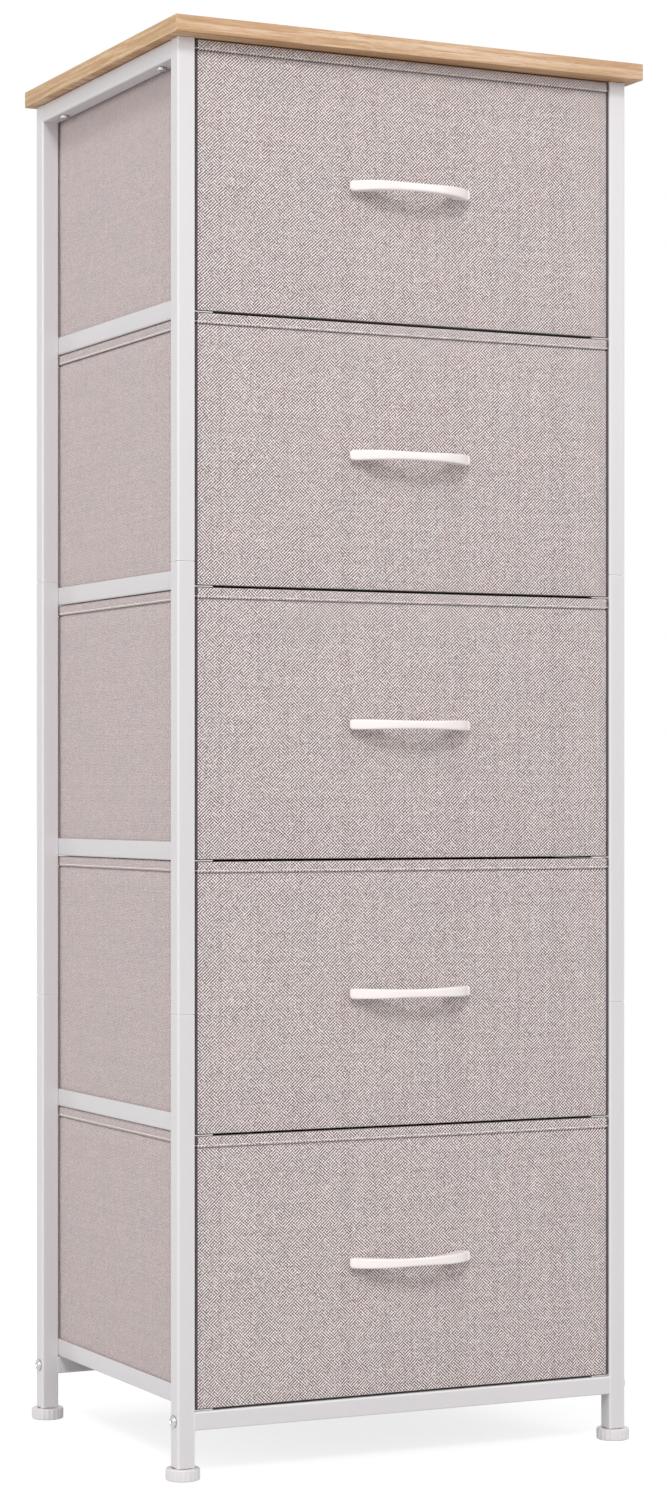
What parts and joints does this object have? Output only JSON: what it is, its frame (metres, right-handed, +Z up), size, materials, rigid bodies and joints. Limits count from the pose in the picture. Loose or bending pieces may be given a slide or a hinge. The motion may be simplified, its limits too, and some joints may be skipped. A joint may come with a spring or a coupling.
{
  "type": "fabric drawer dresser",
  "caption": "Narrow tower of pull-out fabric drawers with bow handles, in a white steel tube frame under an oak-look board, on levelling feet.",
  "frame": {"origin": "on the floor under the middle of the bounding box", "axes": "+Z up, the drawers' fronts face -Y, +X to the right of someone who faces the drawers"},
  "size_m": [0.45, 0.3592, 1.22],
  "materials": {
    "white_steel": "satin white powder coat on steel tube and folded angle",
    "oak_board": "light oak grain, matt",
    "drawer_fabric": "greige linen-look weave",
    "front_stiffener": "raw fibreboard, sewn into the drawer's front",
    "base_panel": "fibreboard panel wrapped in greige fabric",
    "handle_white": "gloss white",
    "foot_plastic": "moulded white plastic, fluted rim",
    "fastener_steel": "zinc-plated screws, bolts and studs"
  },
  "bodies": {
    "frame": {"top_board": "oak_board", "front_bottom_rail": "white_steel", "rear_bottom_rail": "white_steel", "left_side_frame_upper": "white_steel", "left_side_frame_middle": "white_steel", "left_side_frame_lower": "white_steel", "right_side_frame_upper": "white_steel", "right_side_frame_middle": "white_steel", "right_side_frame_lower": "white_steel", "front_left_frame_bolt": "fastener_steel", "front_left_board_screw": "fastener_steel", "front_left_foot_insert": "foot_plastic", "front_right_frame_bolt": "fastener_steel", "front_right_board_screw": "fastener_steel", "front_right_foot_insert": "foot_plastic", "rear_left_frame_bolt": "fastener_steel", "rear_left_board_screw": "fastener_steel", "rear_left_foot_insert": "foot_plastic", "rear_right_frame_bolt": "fastener_steel", "rear_right_board_screw": "fastener_steel", "rear_right_foot_insert": "foot_plastic"},
    "front_left_stud": {"front_left_foot_stud": "fastener_steel"},
    "front_left_pad": {"front_left_foot_pad": "foot_plastic"},
    "front_right_stud": {"front_right_foot_stud": "fastener_steel"},
    "front_right_pad": {"front_right_foot_pad": "foot_plastic"},
    "rear_left_stud": {"rear_left_foot_stud": "fastener_steel"},
    "rear_left_pad": {"rear_left_foot_pad": "foot_plastic"},
    "rear_right_stud": {"rear_right_foot_stud": "fastener_steel"},
    "rear_right_pad": {"rear_right_foot_pad": "foot_plastic"},
    "drawer_1": {"drawer_1_bin": "drawer_fabric", "drawer_1_front_board": "front_stiffener", "drawer_1_base_board": "base_panel", "drawer_1_handle": "handle_white", "drawer_1_handle_screw_left": "fastener_steel", "drawer_1_handle_screw_right": "fastener_steel"},
    "drawer_2": {"drawer_2_bin": "drawer_fabric", "drawer_2_front_board": "front_stiffener", "drawer_2_base_board": "base_panel", "drawer_2_handle": "handle_white", "drawer_2_handle_screw_left": "fastener_steel", "drawer_2_handle_screw_right": "fastener_steel"},
    "drawer_3": {"drawer_3_bin": "drawer_fabric", "drawer_3_front_board": "front_stiffener", "drawer_3_base_board": "base_panel", "drawer_3_handle": "handle_white", "drawer_3_handle_screw_left": "fastener_steel", "drawer_3_handle_screw_right": "fastener_steel"},
    "drawer_4": {"drawer_4_bin": "drawer_fabric", "drawer_4_front_board": "front_stiffener", "drawer_4_base_board": "base_panel", "drawer_4_handle": "handle_white", "drawer_4_handle_screw_left": "fastener_steel", "drawer_4_handle_screw_right": "fastener_steel"},
    "drawer_5": {"drawer_5_bin": "drawer_fabric", "drawer_5_front_board": "front_stiffener", "drawer_5_base_board": "base_panel", "drawer_5_handle": "handle_white", "drawer_5_handle_screw_left": "fastener_steel", "drawer_5_handle_screw_right": "fastener_steel"}
  },
  "joints": [
    {"name": "drawer_1_slide", "type": "slide", "parent": "frame", "child": "drawer_1", "axis": [0, -1, 0], "range_m": [0, 0.24]},
    {"name": "drawer_2_slide", "type": "slide", "parent": "frame", "child": "drawer_2", "axis": [0, -1, 0], "range_m": [0, 0.24]},
    {"name": "drawer_3_slide", "type": "slide", "parent": "frame", "child": "drawer_3", "axis": [0, -1, 0], "range_m": [0, 0.24]},
    {"name": "drawer_4_slide", "type": "slide", "parent": "frame", "child": "drawer_4", "axis": [0, -1, 0], "range_m": [0, 0.24]},
    {"name": "drawer_5_slide", "type": "slide", "parent": "frame", "child": "drawer_5", "axis": [0, -1, 0], "range_m": [0, 0.24]},
    {"name": "front_left_foot_travel", "type": "slide", "parent": "frame", "child": "front_left_stud", "axis": [0, 0, -1], "range_m": [0, 0.008]},
    {"name": "front_left_foot_spin", "type": "hinge", "parent": "front_left_stud", "child": "front_left_pad", "pos_m": [-0.20825, -0.1494, 0], "axis": [0, 0, -1], "range_deg": [0, 2304]},
    {"name": "front_right_foot_travel", "type": "slide", "parent": "frame", "child": "front_right_stud", "axis": [0, 0, -1], "range_m": [0, 0.008]},
    {"name": "front_right_foot_spin", "type": "hinge", "parent": "front_right_stud", "child": "front_right_pad", "pos_m": [0.20825, -0.1494, 0], "axis": [0, 0, -1], "range_deg": [0, 2304]},
    {"name": "rear_left_foot_travel", "type": "slide", "parent": "frame", "child": "rear_left_stud", "axis": [0, 0, -1], "range_m": [0, 0.008]},
    {"name": "rear_left_foot_spin", "type": "hinge", "parent": "rear_left_stud", "child": "rear_left_pad", "pos_m": [-0.20825, 0.1643, 0], "axis": [0, 0, -1], "range_deg": [0, 2304]},
    {"name": "rear_right_foot_travel", "type": "slide", "parent": "frame", "child": "rear_right_stud", "axis": [0, 0, -1], "range_m": [0, 0.008]},
    {"name": "rear_right_foot_spin", "type": "hinge", "parent": "rear_right_stud", "child": "rear_right_pad", "pos_m": [0.20825, 0.1643, 0], "axis": [0, 0, -1], "range_deg": [0, 2304]}
  ],
  "couplings": [
    {"joint": "front_left_foot_travel", "follows": "front_left_foot_spin", "m_per_rad": 0.00019894},
    {"joint": "front_right_foot_travel", "follows": "front_right_foot_spin", "m_per_rad": 0.00019894},
    {"joint": "rear_left_foot_travel", "follows": "rear_left_foot_spin", "m_per_rad": 0.00019894},
    {"joint": "rear_right_foot_travel", "follows": "rear_right_foot_spin", "m_per_rad": 0.00019894}
  ]
}
